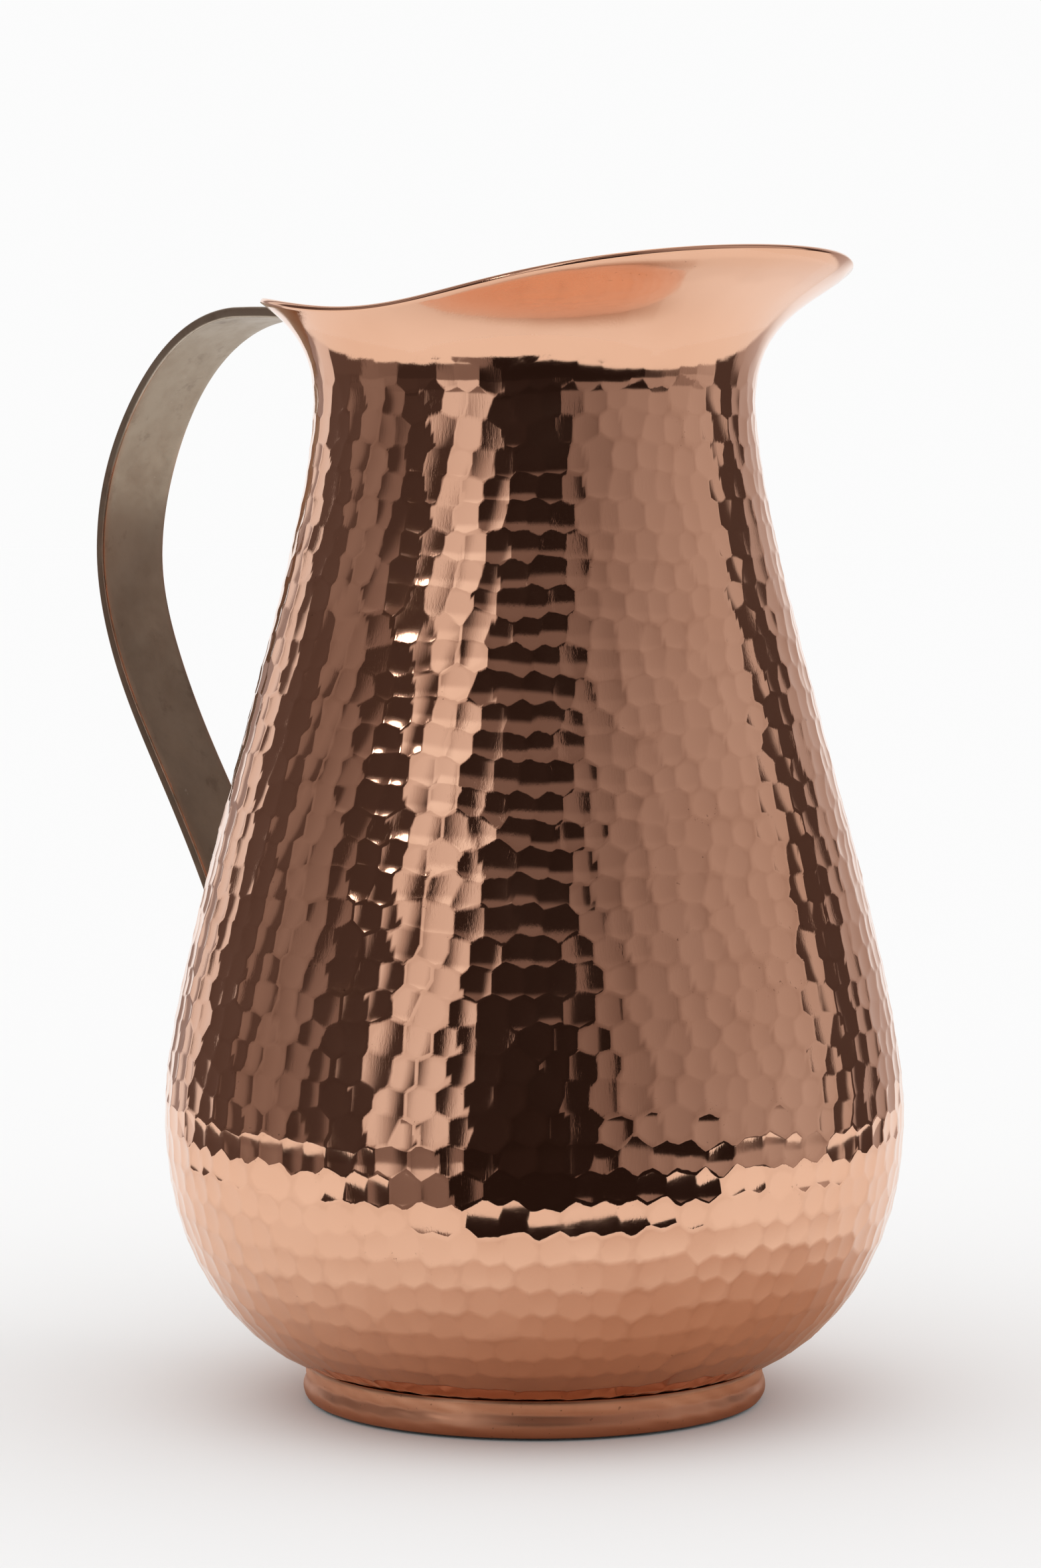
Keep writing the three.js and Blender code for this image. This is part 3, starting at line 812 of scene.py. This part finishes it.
def board_white_painted_shade():
    """Board under the jug: white, and round the foot painted darker and tinted copper, as painted shadow and
    painted light from the jug.
    """
    n = Nodes("board_white_painted_shade")
    around = n.add("ShaderNodeVectorMath", operation="DISTANCE")
    n.join(n.place, around.inputs[0])
    around.inputs[1].default_value = (AXIS_X + 0.022, 0.012, 0)
    # painted shadow and painted copper light: darker and copper-tinted close to the foot
    near = n.spread(around.outputs["Value"], 0.045, 0.150)
    n.join(n.mix(near, (0.52, 0.36, 0.27), (0.87, 0.86, 0.85)), n.shader.inputs["Base Color"])
    n.shader.inputs["Roughness"].default_value = 0.9
    n.shader.inputs["Specular IOR Level"].default_value = 0.0
    return n.material


def pale_floor():
    """Plain pale matt floor."""
    n = Nodes("pale_floor")
    n.shader.inputs["Base Color"].default_value = (0.857, 0.857, 0.857, 1)
    n.shader.inputs["Roughness"].default_value = 0.9
    n.shader.inputs["Specular IOR Level"].default_value = 0.0
    return n.material


# ---------------------------------------------------------------- room

VIEW_AZIMUTH = math.radians(42)
VIEW_DISTANCE = 0.9444
VIEW_HEIGHT = 0.1911
VIEW_PITCH = math.radians(-3.83)
VIEW_YAW = math.radians(0.176)
LENS = 104.4

# what stands round the jug, seen from it: degrees to the right of the camera and how light it is,
# close above the board, level with the jug, and higher up
ROOM_SKIRT = [
    (-180, 1.00), (-158, 1.00), (-155, 0.35), (-146, 0.35), (-143, 0.85), (-132, 0.80), (-128, 0.12),
    (-101, 0.12), (-98, 0.24), (-78, 0.20), (-74, 0.05), (-50, 0.05), (-46, 0.25), (-26, 0.22),
    (-22, 0.02), (60, 0.02), (84, 0.30), (106, 0.53), (109, 0.08), (126, 0.08), (129, 0.42),
    (150, 0.55), (165, 1.00),
]
ROOM_LOW = [
    (-180, 1.00), (-158, 1.00), (-155, 0.35), (-146, 0.35), (-143, 0.85), (-132, 0.80), (-128, 0.12),
    (-104, 0.10), (-101, 0.24), (-93, 0.28), (-78, 0.22), (-74, 0.07), (-52, 0.06),
    (-48, 0.45), (-43, 0.80), (-30, 0.75), (-25, 0.40), (-22, 0.03), (16.5, 0.02),
    (18, 0.19), (40, 0.32), (66, 0.42), (106, 0.55), (109, 0.08), (126, 0.08), (129, 0.42),
    (150, 0.55), (165, 1.00),
]
ROOM_HIGH = [
    (-180, 1.00), (-158, 1.00), (-155, 0.40), (-146, 0.40), (-143, 0.85), (-132, 0.80), (-128, 0.16),
    (-104, 0.16), (-101, 0.34), (-93, 0.40), (-78, 0.30), (-74, 0.18), (-66, 0.16), (-63, 0.50),
    (-57, 0.55), (-54, 0.20), (-50, 0.45), (-46, 0.95), (-30, 1.00), (-25, 0.60), (-22, 0.20),
    (16.5, 0.19), (18, 0.23), (40, 0.34), (66, 0.44), (106, 0.56), (109, 0.10), (126, 0.10),
    (129, 0.45), (150, 0.60), (165, 1.00),
]
# how far down the room reaches, as the sine of the angle below level
ROOM_FOOT = [
    (-180, 0.30), (-100, 0.34), (-60, 0.42), (-15, 0.53), (12, 0.53), (40, 0.40), (70, 0.29), (180, 0.30),
]
SKIRT_TOP = (-9.0, -7.0)
CEILING_START = (26.0, 31.0)


def make_world():
    """Pale all round to the camera. In the metal, the room is read by direction: upright bands of
    light and dark by compass angle, in three storeys, above a pale ground, with one small lamp."""
    world = bpy.data.worlds.new("studio")
    bpy.context.scene.world = world
    world.use_nodes = True
    tree = world.node_tree
    tree.nodes.clear()
    new = tree.nodes.new
    link = tree.links.new

    direction = new("ShaderNodeTexCoord").outputs["Generated"]
    front = (math.sin(VIEW_AZIMUTH), -math.cos(VIEW_AZIMUTH), 0)
    right = (math.cos(VIEW_AZIMUTH), math.sin(VIEW_AZIMUTH), 0)

    def dot(vector):
        node = new("ShaderNodeVectorMath")
        node.operation = "DOT_PRODUCT"
        node.inputs[1].default_value = vector
        link(direction, node.inputs[0])
        return node.outputs["Value"]

    def math_node(kind, a, b):
        node = new("ShaderNodeMath")
        node.operation = kind
        for socket, value in zip(node.inputs, (a, b)):
            if isinstance(value, (int, float)):
                socket.default_value = value
            else:
                link(value, socket)
        return node.outputs[0]

    compass = math_node("ARCTAN2", dot(right), dot(front))
    share = math_node("ADD", math_node("DIVIDE", compass, 2 * math.pi), 0.5)
    up = dot((0, 0, 1))

    def bands(room, tinted=True):
        ramp = new("ShaderNodeValToRGB")
        link(share, ramp.inputs[0])
        elements = ramp.color_ramp.elements
        elements.remove(elements[-1])
        for number, (at, level) in enumerate(room):
            element = elements[0] if number == 0 else elements.new(at / 360 + 0.5)
            element.position = at / 360 + 0.5
            warmth = 1 - math.sqrt(level) if tinted else 0
            element.color = (level, level * (1 - 0.42 * warmth), level * (1 - 0.52 * warmth), 1)
        return ramp.outputs[0]

    def step_up(value, start, end):
        node = new("ShaderNodeMapRange")
        node.interpolation_type = "SMOOTHSTEP"
        node.inputs["From Min"].default_value = start
        node.inputs["From Max"].default_value = end
        link(value, node.inputs["Value"])
        return node.outputs["Result"]

    def blend(factor, low, high):
        node = new("ShaderNodeMix")
        node.data_type = "RGBA"
        link(factor, node.inputs["Factor"])
        for socket, colour in ((node.inputs["A"], low), (node.inputs["B"], high)):
            if isinstance(colour, tuple):
                socket.default_value = colour
            else:
                link(colour, socket)
        return node.outputs["Result"]

    def sines(angles):
        return [math.sin(math.radians(angle)) for angle in angles]

    above_skirt = step_up(up, *sines(SKIRT_TOP))
    above_level = step_up(up, *sines(CEILING_START))
    room = blend(above_skirt, bands(ROOM_SKIRT), blend(above_level, bands(ROOM_LOW), bands(ROOM_HIGH)))
    above_foot = step_up(math_node("ADD", up, bands(ROOM_FOOT, tinted=False)), -0.02, 0.02)
    room = blend(above_foot, (0.95, 0.92, 0.89, 1), room)

    # one soft lamp, low on the left
    lamp_angle = math.radians(-60)
    lamp_up = math.radians(33)
    lamp = tuple(
        math.cos(lamp_up) * (math.cos(lamp_angle) * f + math.sin(lamp_angle) * r) + up_part
        for f, r, up_part in zip(front, right, (0, 0, math.sin(lamp_up)))
    )
    glow = new("ShaderNodeMapRange")
    glow.interpolation_type = "SMOOTHSTEP"
    glow.inputs["From Min"].default_value = math.cos(math.radians(4.5))
    glow.inputs["From Max"].default_value = math.cos(math.radians(1.8))
    glow.inputs["To Max"].default_value = 6.0
    link(dot(lamp), glow.inputs["Value"])
    lit = new("ShaderNodeMix")
    lit.data_type = "RGBA"
    lit.blend_type = "ADD"
    lit.inputs["Factor"].default_value = 1.0
    link(room, lit.inputs["A"])
    link(glow.outputs[0], lit.inputs["B"])

    mirrored = new("ShaderNodeBackground")
    link(lit.outputs["Result"], mirrored.inputs["Color"])
    plain = new("ShaderNodeBackground")
    plain.inputs["Color"].default_value = (0.97, 0.97, 0.97, 1)
    mixed = new("ShaderNodeMixShader")
    link(new("ShaderNodeLightPath").outputs["Is Glossy Ray"], mixed.inputs[0])
    link(plain.outputs[0], mixed.inputs[1])
    link(mirrored.outputs[0], mixed.inputs[2])
    output = new("ShaderNodeOutputWorld")
    link(mixed.outputs[0], output.inputs["Surface"])


def make_slab(name, near, far, aside, z):
    """Flat rectangle turned to face the camera, from near in front of the jug's axis to far behind."""
    front = np.array([math.sin(VIEW_AZIMUTH), -math.cos(VIEW_AZIMUTH), 0])
    right = np.array([math.cos(VIEW_AZIMUTH), math.sin(VIEW_AZIMUTH), 0])
    middle = np.array([AXIS_X, 0, z])
    corners = [(-aside, near), (aside, near), (aside, -far), (-aside, -far)]
    points = np.array([middle + right * side + front * ahead for side, ahead in corners])
    return make_piece(name, points, [[0, 1, 2, 3]])


def make_floor():
    """Wide pale floor, and the pale board that the metal sees round the jug's foot, with a painted shadow
    near the foot.
    """
    floor = make_slab("floor", 12.0, 12.0, 12.0, -0.0006)
    floor.data.materials.append(pale_floor())
    board = make_slab("board", 0.175, 0.60, 0.36, 0.0)
    board.data.materials.append(board_white_painted_shade())
    floor.visible_glossy = False
    board.visible_camera = False
    board.visible_diffuse = False
    board.visible_shadow = False


def make_sun(name, azimuth, elevation, spread, power):
    """Very soft lamp from one direction, the same everywhere on the floor."""
    a, e = math.radians(azimuth), math.radians(elevation)
    place = Vector((math.sin(a) * math.cos(e), -math.cos(a) * math.cos(e), math.sin(e)))
    data = bpy.data.lights.new(name, "SUN")
    data.angle = math.radians(spread)
    data.energy = power
    lamp = bpy.data.objects.new(name, data)
    lamp.location = place * 2
    lamp.rotation_euler = place.to_track_quat("Z", "Y").to_euler()
    lamp.visible_glossy = False
    bpy.context.scene.collection.objects.link(lamp)


def make_camera():
    """Camera level with the shoulder of the jug, looking slightly down, handle to the left."""
    data = bpy.data.cameras.new("camera")
    data.sensor_width = 36.0
    data.lens = LENS
    data.clip_start = 0.01
    data.dof.use_dof = False
    camera = bpy.data.objects.new("camera", data)
    camera.location = (
        AXIS_X + VIEW_DISTANCE * math.sin(VIEW_AZIMUTH),
        -VIEW_DISTANCE * math.cos(VIEW_AZIMUTH),
        VIEW_HEIGHT,
    )
    camera.rotation_euler = (math.pi / 2 + VIEW_PITCH, 0, VIEW_AZIMUTH + VIEW_YAW)
    bpy.context.scene.collection.objects.link(camera)
    bpy.context.scene.camera = camera


# ---------------------------------------------------------------- the jug

def place_piece(piece, material, node):
    """Finish a piece and stand it in for its solid."""
    piece.data.materials.append(material)
    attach(piece, "root")
    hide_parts(node)


place_piece(make_body(), polished_copper(), "body_shell")
place_piece(make_foot(), satin_copper(), "foot_ring")
place_piece(make_solder(), dull_solder(), "foot_solder_fillet")
place_piece(make_strap(), dark_patina(), "handle_strap")

RIVETS = {
    "rivet_neck_upper": NECK_Z - 0.003,
    "rivet_neck_lower": NECK_Z - 0.0135,
    "rivet_belly_upper": BELLY_Z - 0.004,
    "rivet_belly_lower": BELLY_Z - 0.014,
}
rivet_finish = rivet_copper()
for number, (node, height) in enumerate(RIVETS.items()):
    place_piece(make_rivet(node + "_domed", height, number * 1.7), rivet_finish, node)

make_floor()
make_world()
make_sun("lamp_high_left", 0, 60, 60, 0.35)
make_sun("lamp_high_right", 120, 55, 60, 0.25)
make_camera()

scene = bpy.context.scene
scene.view_settings.view_transform = "Standard"
scene.view_settings.look = "None"
